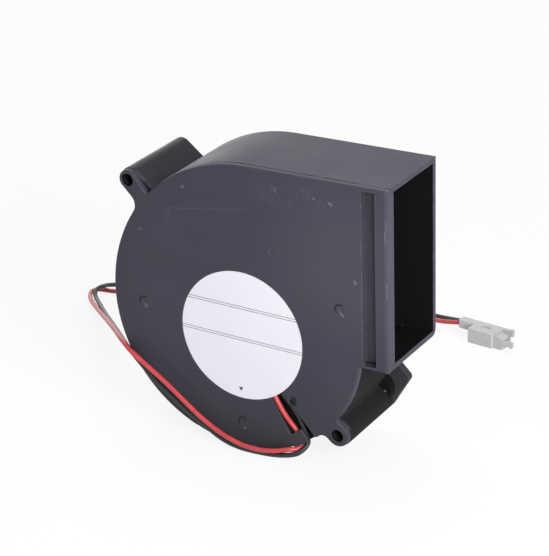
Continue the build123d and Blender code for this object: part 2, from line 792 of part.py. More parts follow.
# Impeller: capped hub, base disc, forward-curved blades and the ring that ties their ends
with BuildPart() as impeller:
    with BuildSketch(station(hub_end)):
        Circle(hub_radius)
    extrude(amount=hub_end - disc_start)
    hub_edge = impeller.edges().group_by(Axis.Y)[-1]
    fillet(hub_edge, hub_wall)
    with BuildSketch(station(disc_end)):
        Circle(impeller_radius)
    extrude(amount=disc_thickness)
    with BuildSketch(station(cup_end)):
        Circle(hub_inner_radius)
    extrude(amount=cup_end - disc_start, mode=Mode.SUBTRACT)
    with BuildSketch(station(cup_end + bush_spigot_rise + glue_gap)):
        Circle(bush_spigot_radius + glue_gap)
    extrude(amount=bush_spigot_rise + glue_gap, mode=Mode.SUBTRACT)
    with BuildSketch(station(hub_end)):
        Circle(hub_dimple_radius)
    extrude(amount=hub_dimple_depth, mode=Mode.SUBTRACT)
    root = Vector(blade_inner_radius, 0)
    tip_at = polar(impeller_radius - fit_gap, -blade_lean)
    tip = Vector(tip_at[0], tip_at[1])
    behind = (tip - root).normalized().rotate(Axis.Z, 90)
    belly = (root + tip) * 0.5 + behind * blade_bow
    half = behind * (blade_thickness / 2)
    with BuildSketch(station(blade_end)):
        with BuildLine(Plane.XY) as blade:
            ThreePointArc(root + half, belly + half, tip + half)
            Line(tip + half, tip - half)
            ThreePointArc(tip - half, belly - half, root - half)
            Line(root - half, root + half)
        blade_face = make_face(blade.edges(), mode=Mode.PRIVATE)
        with PolarLocations(0, blade_count):
            add(blade_face)
    extrude(amount=blade_end - disc_end + fit_gap)
    with BuildSketch(station(blade_end)):
        Circle(impeller_radius)
        Circle(impeller_radius - ring_width, mode=Mode.SUBTRACT)
    extrude(amount=ring_height)
export_piece(impeller, "impeller")

# Connector: small two-way block with a neck for the leads, a nose and two latching arms
connector_origin = (axis_x + connector_at[0], front_y + connector_at[1], connector_at[2])
connector_frame = Plane(origin=connector_origin).rotated((0, 0, connector_heading))
block_end = connector_neck_length + connector_length
nose_end = block_end + nose_length
slot_side = (connector_width - slot_width) / 2 - arm_width
terminal_sides = (terminal_side - terminal_pitch / 2, terminal_side + terminal_pitch / 2)
with BuildPart() as connector_housing:
    with Locations(connector_frame):
        with Locations((connector_neck_length / 2, neck_side, neck_rise)):
            Box(connector_neck_length, connector_neck_width, neck_height)
        with Locations((connector_neck_length + connector_length / 2, 0, 0)):
            Box(connector_length, connector_width, connector_height)
    chamfer(connector_housing.edges().filter_by(Axis.Z), connector_edge)
    with Locations(connector_frame):
        with Locations((block_end + nose_length / 2, 0, (nose_height - connector_height) / 2)):
            Box(nose_length, nose_width, nose_height)
        slot_x = block_end + nose_length - slot_length / 2
        with Locations((slot_x, slot_side, arm_rise)):
            Box(slot_length, slot_width, connector_height, mode=Mode.SUBTRACT)
        far_side = (connector_width - arm_width) / 2
        with Locations((block_end + arm_length / 2, far_side, arm_rise)):
            Box(arm_length, arm_width, arm_height)
        with Locations((block_end + arm_length - barb_length / 2, far_side, arm_rise)):
            Box(barb_length, arm_width, arm_height + 2 * barb_height)
        with Locations((nose_end + near_arm_length / 2, near_arm_side, 0)):
            Box(near_arm_length, arm_width, near_arm_height)
        with Locations((nose_end + near_arm_length - barb_length / 2, near_arm_side, 0)):
            Box(barb_length, arm_width, near_arm_height + 2 * barb_height)
        latch_x = connector_neck_length + connector_length / 2
        with Locations((latch_x, 0, connector_height / 2)):
            Box(latch_length, latch_width, 2 * latch_depth, mode=Mode.SUBTRACT)
        pocket_x = block_end + nose_length - pocket_depth / 2
        for side in terminal_sides:
            with Locations((pocket_x, side, 0)):
                Box(pocket_depth, pocket_size, pocket_size, mode=Mode.SUBTRACT)
export_piece(connector_housing, "connector_housing")

# Crimped sockets at the bottom of the nose's two pockets
with BuildPart() as connector_terminals:
    with Locations(connector_frame):
        for side in terminal_sides:
            with Locations((block_end + nose_length - pocket_depth + terminal_length / 2, side, 0)):
                Box(terminal_length, pocket_size - 2 * glue_gap, pocket_size - 2 * glue_gap)
                Box(terminal_length, terminal_bore, terminal_bore, mode=Mode.SUBTRACT)
export_piece(connector_terminals, "connector_terminals")

# Leads, as (across, behind the cover's face, up) from the axis: out of the trough, round the
# cover's lower edge to the left, a loop on the ground beyond it, and back behind the housing
red_route = [
    (4.5, 2.1, -9.6), (7.5, 1.7, -13.9), (11.2, 1.0, -19.5), (13.8, 1.0, -24.1),
    (16.7, 1.9, -28.6), (20.1, 2.0, -32.4), (19.7, 1.5, -35.0), (18.5, 0.9, -36.0),
    (16.3, 0.0, -36.6), (13.5, -1.5, -36.8), (10.2, -2.0, -37.2), (6.7, -2.3, -37.4),
    (3.1, -2.5, -37.3), (-0.3, -2.8, -36.7), (-3.9, -3.0, -35.5), (-7.5, -3.0, -33.7),
    (-19.8, -3.3, -25.4), (-33.6, -3.3, -16.8), (-39.7, -3.6, -12.0), (-42.5, -2.2, -10.9),
    (-47.0, 1.7, -11.2), (-54.0, 9.3, -13.2), (-67.4, 24.7, -19.0), (-85.6, 46.0, -27.7),
    (-98.0, 60.5, -33.5), (-107.5, 71.5, -37.4), (-111.6, 77.0, -38.3), (-112.7, 80.3, -38.3),
    (-111.4, 82.6, -38.3), (-108.0, 82.8, -38.3), (-103.0, 83.8, -38.3), (-95.2, 87.1, -38.3),
    (-81.1, 93.1, -38.3), (-54.0, 102.0, -38.3), (-23.9, 109.1, -38.3), (-0.8, 113.2, -38.3),
    (10.6, 112.1, -38.0), (17.0, 109.6, -36.8), (23.3, 108.6, -35.3),
]
black_route = [
    (6.3, 2.1, -8.3), (9.4, 1.8, -12.7), (13.2, 1.6, -17.6), (16.6, 2.0, -21.6),
    (19.3, 2.2, -25.8), (21.8, 2.0, -32.0), (21.9, 1.5, -33.2), (21.6, 0.6, -34.5),
    (20.5, -0.2, -35.7), (19.4, -1.2, -36.3), (16.7, -2.8, -37.0), (12.9, -3.6, -37.6),
    (8.2, -3.8, -38.2), (3.9, -4.2, -38.3), (0.0, -3.9, -38.3), (-4.6, -2.4, -38.2),
    (-8.2, -2.0, -36.7), (-12.2, -1.5, -34.8), (-15.8, -1.5, -32.7), (-18.6, -1.5, -31.2),
    (-21.7, -1.5, -29.2), (-25.0, -1.5, -26.9), (-27.9, -1.5, -24.7), (-31.2, -1.5, -22.5),
    (-34.1, -1.5, -19.9), (-41.5, -1.6, -12.5), (-45.8, 2.4, -12.5), (-53.3, 10.4, -14.6),
    (-67.3, 27.2, -21.1), (-83.8, 47.1, -29.0), (-95.2, 60.6, -33.7), (-101.7, 68.0, -35.6),
    (-105.9, 72.5, -36.4), (-107.5, 74.4, -35.7), (-108.4, 77.2, -35.5), (-107.9, 79.6, -35.4),
    (-109.1, 85.7, -37.4), (-106.3, 89.5, -38.3), (-101.5, 90.5, -38.3), (-92.1, 93.9, -38.3),
    (-75.1, 99.9, -38.3), (-49.0, 107.1, -38.3), (-20.4, 113.0, -38.3), (0.3, 116.2, -38.3),
    (10.8, 115.5, -38.1), (17.4, 113.0, -36.8), (23.3, 110.3, -35.3),
]
for color, route in (("red", red_route), ("black", black_route)):
    points = [Vector(axis_x + x, front_y + y, axis_z + z) for x, y, z in route]
    runs = [after - before for before, after in zip(points, points[1:])]
    radii = []
    for before, after in zip(runs, runs[1:]):
        half_turn = radians(before.get_angle(after)) / 2
        radii.append(lead_bend_share * min(before.length, after.length) / tan(half_turn))
    with BuildPart() as lead:
        with BuildLine() as route_line:
            FilletPolyline(*points, radius=radii)
        with BuildSketch(Plane(origin=points[0], z_dir=runs[0])):
            Circle(lead_radius)
        sweep()
    length = route_line.wire().length
    section = pi * lead_radius**2
    print(color, "lead", length, "mm, volume over section x length", lead.part.volume / (section * length))
    print("radii", [round(radius, 1) for radius in radii])
    export_piece(lead, color + "_lead")
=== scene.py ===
# A flat dc blower: black scroll housing, motor under a round label, two leads and a connector.
# Metres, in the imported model's own frame.
import math

import bmesh
import bpy
from mathutils import Matrix, Vector


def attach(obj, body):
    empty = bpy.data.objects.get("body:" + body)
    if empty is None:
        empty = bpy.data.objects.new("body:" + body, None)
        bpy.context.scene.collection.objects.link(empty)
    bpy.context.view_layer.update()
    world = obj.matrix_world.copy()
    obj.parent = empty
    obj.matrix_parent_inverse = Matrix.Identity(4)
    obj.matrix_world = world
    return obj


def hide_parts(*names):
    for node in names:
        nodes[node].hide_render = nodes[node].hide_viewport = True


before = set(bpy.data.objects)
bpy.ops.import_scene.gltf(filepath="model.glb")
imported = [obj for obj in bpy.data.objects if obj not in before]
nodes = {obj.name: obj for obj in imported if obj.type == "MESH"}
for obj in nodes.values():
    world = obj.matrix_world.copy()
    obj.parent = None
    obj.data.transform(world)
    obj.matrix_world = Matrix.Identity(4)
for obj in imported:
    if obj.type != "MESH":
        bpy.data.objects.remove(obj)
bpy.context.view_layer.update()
mm = 0.001
print("model loaded,", len(nodes), "nodes")

# Camera, at the photograph's own place and angle
camera = {
    "place": (0.33811, -0.57427, 0.34194),
    "azimuth": 30.43,     # degrees round to the right of the label side
    "elevation": 23.46,   # degrees down
    "roll": -1.75,
    "lens": 149.248,
    "sensor": 36.0,
    "clip": (0.01, 50),
}


def addCamera():
    turn = math.radians(camera["azimuth"])
    tilt = math.radians(camera["elevation"])
    roll = math.radians(camera["roll"])
    level = Vector((-math.sin(turn), math.cos(turn), 0))
    ahead = level * math.cos(tilt) + Vector((0, 0, -math.sin(tilt)))
    right = Vector((math.cos(turn), math.sin(turn), 0))
    up = right.cross(ahead)
    rolledRight = right * math.cos(roll) + up * math.sin(roll)
    rolledUp = up * math.cos(roll) - right * math.sin(roll)
    data = bpy.data.cameras.new("camera")
    data.lens = camera["lens"]
    data.sensor_width = camera["sensor"]
    data.clip_start, data.clip_end = camera["clip"]
    body = bpy.data.objects.new("camera", data)
    bpy.context.scene.collection.objects.link(body)
    turned = Matrix((rolledRight, rolledUp, -ahead)).transposed().to_4x4()
    body.matrix_world = Matrix.Translation(camera["place"]) @ turned
    bpy.context.scene.camera = body
    print("camera set")


addCamera()

# Leads: each route is (across, behind the cover's face, up) from the rotor axis, in millimetres
rotorAxis = (-2.1, -16.5, 39.1)
leads = {
    "diameter": 1.6,
    "around": 6,              # bevel resolution: 16 sides
    "along": 10,              # steps from one point to the next
    "order": 3,
    "redLength": 0.356,       # metres
    "blackLength": 0.359,
    "redColour": (0.60, 0.056, 0.066),
    "redRough": 0.36,
    "blackColour": (0.012, 0.012, 0.014),
    "blackRough": 0.42,
    "mottle": 400,            # scale of the slow change of colour
    "deepShare": 0.8,
    "skin": (0.00003, 0.5),   # depth and strength of its fine bumps
    "redRoute": [
        (4.5, 2.1, -9.6), (7.5, 1.7, -13.9), (11.2, 1.0, -19.5), (13.8, 1.0, -24.1),
        (16.7, 1.9, -28.6), (20.1, 2.0, -32.4), (20.0, 2.1, -34.0), (19.4, 1.3, -35.3),
        (18.2, -0.25, -35.64), (17.0, -1.2, -35.3), (14.1, -2.5, -35.9), (10.8, -3.0, -36.5),
        (7.3, -3.4, -36.8), (3.8, -3.7, -36.6), (0.4, -3.9, -36.1), (-3.4, -3.8, -35.1),
        (-7.5, -3.2, -34.1),
        (-10.7, -3.1, -32.5), (-15.0, -3.2, -29.9), (-19.7, -3.3, -26.2), (-26.2, -3.3, -21.2),
        (-33.5, -3.3, -16.3), (-39.7, -3.6, -12.0), (-42.5, -2.2, -10.9),
        (-47.0, 1.7, -11.2), (-54.0, 9.3, -13.2), (-67.4, 24.7, -19.0), (-85.6, 46.0, -27.7),
        (-98.0, 60.5, -33.5), (-107.5, 71.5, -37.4), (-111.6, 77.0, -38.3), (-112.7, 80.3, -38.3),
        (-111.4, 82.6, -38.3), (-108.0, 82.8, -38.3), (-103.0, 83.8, -38.3), (-95.2, 87.1, -38.3),
        (-81.1, 93.1, -38.3), (-54.0, 102.0, -38.3), (-23.9, 109.1, -38.3), (-0.8, 113.2, -38.3),
        (10.6, 112.1, -38.0), (17.0, 109.6, -36.8), (23.3, 108.6, -35.3),
    ],
    "blackRoute": [
        (6.3, 2.1, -8.3), (9.4, 1.8, -12.7), (13.2, 1.6, -17.6), (16.6, 2.0, -21.6),
        (19.3, 2.2, -25.8), (21.8, 2.1, -32.0), (21.9, 2.0, -33.4), (21.5, 0.9, -34.7),
        (20.5, -0.2, -35.7), (19.4, -1.05, -36.56), (16.6, -1.8, -37.3), (13.0, -2.0, -38.0),
        (9.6, -2.2, -38.3), (6.6, -2.4, -38.3), (3.2, -2.6, -38.3), (-0.6, -2.4, -38.3),
        (-4.8, -1.9, -37.9), (-8.6, -1.8, -36.6), (-12.2, -1.5, -34.8),
        (-15.8, -1.5, -32.7), (-18.6, -1.5, -31.2), (-21.7, -1.5, -29.2), (-25.0, -1.5, -26.9),
        (-27.9, -1.5, -24.7), (-31.2, -1.5, -22.5),
        (-34.1, -1.5, -19.9), (-41.5, -1.6, -12.5), (-46.0, 2.3, -12.5), (-53.3, 10.4, -14.6),
        (-67.3, 27.2, -21.1), (-83.8, 47.1, -29.0), (-95.2, 60.6, -33.7), (-101.7, 68.0, -35.6),
        (-105.9, 72.5, -36.4), (-107.5, 74.4, -35.7), (-108.4, 77.2, -35.5), (-107.9, 79.6, -35.4),
        (-109.1, 85.7, -37.4), (-106.3, 89.5, -38.3), (-101.5, 90.5, -38.3), (-92.1, 93.9, -38.3),
        (-75.1, 99.9, -38.3), (-49.0, 107.1, -38.3), (-20.4, 113.0, -38.3), (0.3, 116.2, -38.3),
        (10.8, 115.5, -38.1), (17.4, 113.0, -36.8), (23.3, 110.3, -35.3),
    ],
}


def fromAxis(point):
    return tuple((point[i] + rotorAxis[i]) * mm for i in range(3))


def addLead(name, route, node):
    points = [fromAxis(point) for point in route]
    curve = bpy.data.curves.new(name, "CURVE")
    curve.dimensions = "3D"
    curve.bevel_depth = 1     # each point's radius gives the thickness, so the curve's box is right
    curve.bevel_resolution = leads["around"]
    curve.resolution_u = leads["along"]
    curve.use_fill_caps = True
    spline = curve.splines.new("NURBS")
    spline.points.add(len(points) - 1)
    for place, point in zip(spline.points, points):
        place.co = (*point, 1)
        place.radius = leads["diameter"] / 2 * mm
    spline.order_u = leads["order"]
    spline.use_endpoint_u = True
    lead = bpy.data.objects.new(name, curve)
    bpy.context.scene.collection.objects.link(lead)
    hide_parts(node)
    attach(lead, "frame")
    print(name, "laid")
    return lead


redLead = addLead("redLead", leads["redRoute"], "red_lead")
blackLead = addLead("blackLead", leads["blackRoute"], "black_lead")


# Materials
def startMaterial(name, colour, roughness):
    material = bpy.data.materials.new(name)
    material.use_nodes = True
    tree = material.node_tree
    shader = tree.nodes["Principled BSDF"]
    shader.inputs["Base Color"].default_value = (*colour, 1)
    shader.inputs["Roughness"].default_value = roughness
    return material, tree, shader


def noise(tree, scale, detail=2.0):
    coordinates = tree.nodes.new("ShaderNodeTexCoord")
    texture = tree.nodes.new("ShaderNodeTexNoise")
    texture.inputs["Scale"].default_value = scale
    texture.inputs["Detail"].default_value = detail
    tree.links.new(coordinates.outputs["Object"], texture.inputs["Vector"])
    return texture.outputs["Fac"]


# Noise lies mostly between 0.3 and 0.7
def remap(tree, value, low, high, start=0.3, end=0.7):
    node = tree.nodes.new("ShaderNodeMapRange")
    node.inputs["From Min"].default_value = start
    node.inputs["From Max"].default_value = end
    node.inputs["To Min"].default_value = low
    node.inputs["To Max"].default_value = high
    tree.links.new(value, node.inputs["Value"])
    return node.outputs["Result"]


def blendColours(tree, factor, first, second):
    mix = tree.nodes.new("ShaderNodeMix")
    mix.data_type = "RGBA"
    tree.links.new(factor, mix.inputs["Factor"])
    for socket, colour in (("A", first), ("B", second)):
        target = [s for s in mix.inputs if s.name == socket and s.type == "RGBA"][0]
        if isinstance(colour, tuple):
            target.default_value = (*colour, 1)
        else:
            tree.links.new(colour, target)
    return [s for s in mix.outputs if s.type == "RGBA"][0]


def grainNormal(tree, shader, value, distance, strength, edge=0.0):
    bump = tree.nodes.new("ShaderNodeBump")
    bump.inputs["Distance"].default_value = distance
    bump.inputs["Strength"].default_value = strength
    tree.links.new(value, bump.inputs["Height"])
    if edge:
        rounded = tree.nodes.new("ShaderNodeBevel")
        rounded.samples = mouldings["edgeSamples"]
        rounded.inputs["Radius"].default_value = edge
        tree.links.new(rounded.outputs["Normal"], bump.inputs["Normal"])
    tree.links.new(bump.outputs["Normal"], shader.inputs["Normal"])


def maths(tree, operation, first, second=0.0, third=0.0):
    node = tree.nodes.new("ShaderNodeMath")
    node.operation = operation
    for index, value in enumerate((first, second, third)):
        if isinstance(value, (int, float)):
            node.inputs[index].default_value = value
        else:
            tree.links.new(value, node.inputs[index])
    return node.outputs[0]


# Millimetres across, back and up from the rotor axis, as the dictionaries below give them
def placeOnFace(tree):
    coordinates = tree.nodes.new("ShaderNodeTexCoord")
    split = tree.nodes.new("ShaderNodeSeparateXYZ")
    tree.links.new(coordinates.outputs["Object"], split.inputs[0])
    return [
        maths(tree, "MULTIPLY_ADD", split.outputs[axis], 1 / mm, -rotorAxis[axis]) for axis in range(3)
    ]


def times(tree, first, second):
    return maths(tree, "MULTIPLY", first, second)


def larger(tree, first, second):
    return second if first is None else maths(tree, "MAXIMUM", first, second)


def above(tree, value, limit):
    return maths(tree, "GREATER_THAN", value, limit)


def below(tree, value, limit):
    return maths(tree, "LESS_THAN", value, limit)


def between(tree, value, limits):
    return times(tree, above(tree, value, limits[0]), below(tree, value, limits[1]))


def apart(tree, first, second):
    return maths(tree, "ABSOLUTE", maths(tree, "SUBTRACT", first, second))


def distanceTo(tree, across, up, spot):
    dx = maths(tree, "SUBTRACT", across, spot[0])
    dz = maths(tree, "SUBTRACT", up, spot[1])
    return maths(tree, "SQRT", maths(tree, "MULTIPLY_ADD", dx, dx, times(tree, dz, dz)))


def fade(tree, value, far, core, strength=1):
    # full strength up to the core's share of far, and nothing past far
    return remap(tree, value, strength, 0, far * core, far)


def alongAndBeside(tree, across, up, direction):
    # how far along a direction a place lies, and how far to its side
    run = maths(tree, "MULTIPLY_ADD", across, direction[0], times(tree, up, direction[1]))
    side = maths(tree, "MULTIPLY_ADD", across, -direction[1], times(tree, up, direction[0]))
    return run, side


def mottled(tree, scale, detail, first, second):
    return blendColours(tree, remap(tree, noise(tree, scale, detail), 0, 1), first, second)


# Moulded plastic: colours, a fine grain, and edges rubbed paler, which also paints a highlight along them
mouldings = {
    # the blue in the housing and cover blacks partly paints a bluish reflected sheen
    "housingBlack": {"dark": (0.043, 0.040, 0.060), "light": (0.052, 0.048, 0.071), "rough": (0.40, 0.52)},
    "coverBlack": {"dark": (0.047, 0.044, 0.064), "light": (0.056, 0.052, 0.075), "rough": (0.40, 0.52)},
    "impellerBlack": {"dark": (0.024, 0.024, 0.027), "light": (0.032, 0.032, 0.036), "rough": (0.34, 0.42)},
    "gloss": 0.17,        # specular level
    "grain": 2600,        # fine sparked texture of the mould
    "grainDepth": 0.00003,
    "grainStrength": 0.6,
    "cloud": 55,          # slow changes of gloss over the faces
    "edge": 0.00025,      # radius that the light sees on a sharp edge
    "edgeSamples": 4,
    "wornEdge": 0.0006,
    "wornBend": (0.80, 0.985),        # cosine of the bend, where the wear is full and where it ends
    "wornSpots": 260,
    "wornSpotRange": (0.42, 0.62),
    "wornShare": (0.1, 0.9),
    # worn edges that also carry a painted highlight
    "wornAndHighlitColour": (0.145, 0.140, 0.165),
    "scuffColour": (0.16, 0.155, 0.18),
    # painted shade for hollows, shadowed rims and holes
    "hollowShadeColour": (0.012, 0.012, 0.014),
}


def edgeWearAndHighlight(tree):
    # paler rubbed edges: partly real wear, partly a painted highlight where light catches the edge
    rounded = tree.nodes.new("ShaderNodeBevel")
    rounded.samples = mouldings["edgeSamples"]
    rounded.inputs["Radius"].default_value = mouldings["wornEdge"]
    flat = tree.nodes.new("ShaderNodeNewGeometry")
    dot = tree.nodes.new("ShaderNodeVectorMath")
    dot.operation = "DOT_PRODUCT"
    tree.links.new(rounded.outputs["Normal"], dot.inputs[0])
    tree.links.new(flat.outputs["True Normal"], dot.inputs[1])
    bent = remap(tree, dot.outputs["Value"], 1, 0, *mouldings["wornBend"])
    spots = noise(tree, mouldings["wornSpots"], 4.0)
    rubbed = remap(tree, spots, *mouldings["wornShare"], *mouldings["wornSpotRange"])
    return times(tree, bent, rubbed)


def mouldGrain(tree, shader, edge=0.0):
    grain = noise(tree, mouldings["grain"], 1.0)
    grainNormal(tree, shader, grain, mouldings["grainDepth"], mouldings["grainStrength"], edge)


def mouldedPlastic(name):
    look = mouldings[name]
    material, tree, shader = startMaterial(name, look["dark"], look["rough"][0])
    shader.inputs["Specular IOR Level"].default_value = mouldings["gloss"]
    cloud = noise(tree, mouldings["cloud"], 3.0)
    colour = blendColours(tree, remap(tree, cloud, 0, 1), look["dark"], look["light"])
    roughness = remap(tree, cloud, *look["rough"])
    return material, tree, shader, colour, roughness


def finishPlastic(tree, shader, colour, roughness):
    tree.links.new(colour, shader.inputs["Base Color"])
    tree.links.new(roughness, shader.inputs["Roughness"])
    mouldGrain(tree, shader, mouldings["edge"])


def impellerPlastic():
    material, tree, shader, colour, roughness = mouldedPlastic("impellerBlack")
    finishPlastic(tree, shader, colour, roughness)
    return material


# Zones of the scroll housing, in millimetres across, behind the cover's face and up from the rotor axis
housingZones = {
    "topArc": ((2.6, 7.3), 49.95),            # centre and radius: the upper boss and its web lie outside
    "upperEnd": -20.0,
    "upperShadeColour": (0.017, 0.016, 0.024),     # painted shade on the upper boss and its web, which face away from the light; the zone is also smoother than the rest, which is sparked
    "upperRough": -0.08,                      # added to the roughness there
    "tongueArc": ((-0.6, 3.35), 42.2),        # the lower boss and the gusset lie outside
    "lowerStart": 15.0,
    "belowDuct": -2.7,
    # painted shade on the lower boss and the gusset, under the duct
    "lowerShadeColour": (0.013, 0.013, 0.015),
    "lowerRough": 0.92,
    "plateStart": 30.2,                       # the gusset's own plate, behind the pad
    "plateColour": (0.042, 0.041, 0.046),
    "insideArc": ((2.6, 7.3), 48.6),          # the scroll's inside, over the tongue and up the duct
    "insideTongue": ((-0.6, 3.35), 40.9),
    "insideDepth": (1.9, 31.4),
    "insideWidth": (-20.0, 51.1),
    "ductFloor": -0.9,
    # painted shade inside the scroll and up the duct
    "insideShadeColour": (0.009, 0.009, 0.010),
    "insideRough": 0.22,
}


def housingPlastic():
    zones = housingZones
    material, tree, shader, colour, roughness = mouldedPlastic("housingBlack")
    across, back, up = placeOnFace(tree)

    center, radius = zones["topArc"]
    upper = above(tree, distanceTo(tree, across, up, center), radius)
    upper = times(tree, upper, below(tree, across, zones["upperEnd"]))
    center, radius = zones["tongueArc"]
    lower = above(tree, distanceTo(tree, across, up, center), radius)
    lower = times(tree, lower, above(tree, across, zones["lowerStart"]))
    lower = times(tree, lower, below(tree, up, zones["belowDuct"]))
    plate = times(tree, lower, above(tree, back, zones["plateStart"]))

    center, radius = zones["insideArc"]
    leftwards = maths(tree, "MINIMUM", across, center[0])
    within = below(tree, distanceTo(tree, leftwards, up, center), radius)
    center, radius = zones["insideTongue"]
    overTongue = below(tree, distanceTo(tree, across, up, center), radius)
    overTongue = larger(tree, overTongue, above(tree, up, zones["ductFloor"]))
    inside = between(tree, back, zones["insideDepth"])
    inside = times(tree, inside, between(tree, across, zones["insideWidth"]))
    inside = times(tree, inside, times(tree, within, overTongue))

    # painted shade on the upper boss
    colour = blendColours(tree, upper, colour, zones["upperShadeColour"])
    # painted shade under the duct
    colour = blendColours(tree, lower, colour, zones["lowerShadeColour"])
    colour = blendColours(tree, plate, colour, zones["plateColour"])
    colour = blendColours(tree, edgeWearAndHighlight(tree), colour, mouldings["wornAndHighlitColour"])
    # painted shade inside the scroll
    colour = blendColours(tree, inside, colour, zones["insideShadeColour"])
    roughness = maths(tree, "MULTIPLY_ADD", upper, zones["upperRough"], roughness)
    roughness = larger(tree, roughness, times(tree, lower, zones["lowerRough"]))
    mostRough = maths(tree, "MULTIPLY_ADD", inside, zones["insideRough"] - 1, 1.0)
    roughness = maths(tree, "MINIMUM", roughness, mostRough)
    finishPlastic(tree, shader, colour, roughness)
    return material


# Marks on the cover, with painted shade and painted light, in millimetres across and up from the rotor axis
coverMarks = {
    "faceDepth": 0.6,         # the marks lie on the face, in front of this
    "wobble": (900, 0.7),     # scale, and how far it moves a mark's outline
    "specks": [               # across, up, radius, strength
        (-19.1, 46.6, 0.75, 0.6), (-35.9, 29.8, 0.8, 0.55), (32.3, 49.9, 0.6, 1.0),
        (40.5, 25.7, 0.7, 0.9), (35.8, 14.3, 0.7, 0.9), (-35.2, 3.4, 0.7, 0.7),
        (0.0, -32.4, 0.7, 0.7), (26.8, 50.4, 0.6, 0.5), (13.4, 51.2, 0.7, 0.4),
    ],
    "speckCore": 0.3,
    "scratches": [            # from across, up, to across, up, half width, strength
        (-24.2, 38.8, 3.3, 42.9, 0.16, 0.35), (-27.2, 32.2, -24.2, 38.8, 0.16, 0.25),
        (50.8, 47.1, 50.7, 39.4, 0.22, 0.8), (51.1, 27.0, 51.1, 22.5, 0.20, 0.6),
        (12.0, 31.4, 16.0, 32.2, 0.14, 0.3),
    ],
    "scratchCore": 0.4,
    "scratchWobble": 0.3,
    "scratchBreaks": (500, 0.42, 0.55, 0.25),     # scale, range, and what is left in a break
    "residue": ((20.0, 50.0), 16.0, 4.5),         # patchy marks along the top edge: middle, half sizes
    "residueCores": (0.6, 0.5),
    "residueRings": (420, 0.56, 0.022, 0.28),     # scale, level, width, strength
    "shadowedRims": [(-35.9, 4.9), (35.0, 16.0), (-0.6, -29.9)],      # ejector marks, with painted shadow on the upper left of their rims
    "rimRadius": 1.5,
    "rimWidth": (0.1, 0.5),
    "rimSide": (-0.6, 0.8),                       # the painted shadow is bare at the lower right, full at the upper left
    "pin": (18.1, -18.8, 1.2, 1.9),               # painted shadow beside the trough's right edge: across, up, half sizes
    "pinCore": 0.6,
    "trough": (math.radians(-54), -0.93, 4.2),    # turn, middle and half width of the painted shade inside it
    "troughStart": 12.0,
    "troughDepth": 0.8,
    "bores": [(-39.8, 45.5), (33.3, -27.45)],     # painted shade inside the two screw holes
    "boreRadius": 2.3,
    "boreDepth": 0.5,
    "pale": ((38.0, 30.0), 34.0, 0.3),            # painted light, paler beside the duct: middle, reach, core
    "paintedLightColour": (0.066, 0.062, 0.084),
    "foot": (0.7, -34.0, -8.0),                   # painted shade, darker and less blue at the foot: share, from, up to
    "footShadeColour": (0.036, 0.035, 0.039),
}


def addSpecks(tree, across, up, wobble, marks):
    for x, z, radius, strength in coverMarks["specks"]:
        away = maths(tree, "ADD", distanceTo(tree, across, up, (x, z)), wobble)
        marks = larger(tree, marks, fade(tree, away, radius, coverMarks["speckCore"], strength))
    return marks


def addScratches(tree, across, up, wobble, marks):
    scale, start, end, least = coverMarks["scratchBreaks"]
    for x1, z1, x2, z2, half, strength in coverMarks["scratches"]:
        length = math.hypot(x2 - x1, z2 - z1)
        dx = maths(tree, "SUBTRACT", across, x1)
        dz = maths(tree, "SUBTRACT", up, z1)
        run, side = alongAndBeside(tree, dx, dz, ((x2 - x1) / length, (z2 - z1) / length))
        ragged = maths(tree, "MULTIPLY_ADD", wobble, coverMarks["scratchWobble"], side)
        side = maths(tree, "ABSOLUTE", ragged)
        line = fade(tree, side, half, coverMarks["scratchCore"], strength)
        line = times(tree, between(tree, run, (0.0, length)), line)
        whole = remap(tree, noise(tree, scale), least, 1, start, end)
        marks = larger(tree, marks, times(tree, line, whole))
    return marks


def nearSpot(tree, across, up, spot, halves, cores):
    nearX = fade(tree, apart(tree, across, spot[0]), halves[0], cores[0])
    nearZ = fade(tree, apart(tree, up, spot[1]), halves[1], cores[1])
    return times(tree, nearX, nearZ)


def addResidue(tree, across, up, marks):
    middle, halfWidth, halfHeight = coverMarks["residue"]
    scale, level, width, strength = coverMarks["residueRings"]
    patch = nearSpot(tree, across, up, middle, (halfWidth, halfHeight), coverMarks["residueCores"])
    rings = apart(tree, noise(tree, scale), level)
    return larger(tree, marks, times(tree, patch, fade(tree, rings, width, 0.0, strength)))


def addRimAndTroughShadows(tree, across, up):
    # painted shadow on the upper left of each ejector mark's rim, and beside the trough
    paintedShade = None
    for x, z in coverMarks["shadowedRims"]:
        away = distanceTo(tree, across, up, (x, z))
        off = apart(tree, away, coverMarks["rimRadius"])
        side = maths(tree, "SUBTRACT", maths(tree, "SUBTRACT", up, z), maths(tree, "SUBTRACT", across, x))
        rim = remap(tree, off, 1, 0, *coverMarks["rimWidth"])
        rim = times(tree, rim, remap(tree, side, 0, 1, *coverMarks["rimSide"]))
        paintedShade = larger(tree, paintedShade, rim)
    x, z, halfWidth, halfHeight = coverMarks["pin"]
    core = coverMarks["pinCore"]
    return larger(tree, paintedShade, nearSpot(tree, across, up, (x, z), (halfWidth, halfHeight), (core, core)))


def addShadedHollows(tree, across, back, up, paintedShade):
    # painted shade inside the trough and the screw holes, behind the face
    turn, middle, halfWidth = coverMarks["trough"]
    run, side = alongAndBeside(tree, across, up, (math.cos(turn), math.sin(turn)))
    trough = below(tree, apart(tree, side, middle), halfWidth)
    trough = times(tree, trough, above(tree, run, coverMarks["troughStart"]))
    paintedShade = larger(tree, paintedShade, times(tree, trough, above(tree, back, coverMarks["troughDepth"])))
    for bore in coverMarks["bores"]:
        near = below(tree, distanceTo(tree, across, up, bore), coverMarks["boreRadius"])
        paintedShade = larger(tree, paintedShade, times(tree, near, above(tree, back, coverMarks["boreDepth"])))
    return paintedShade


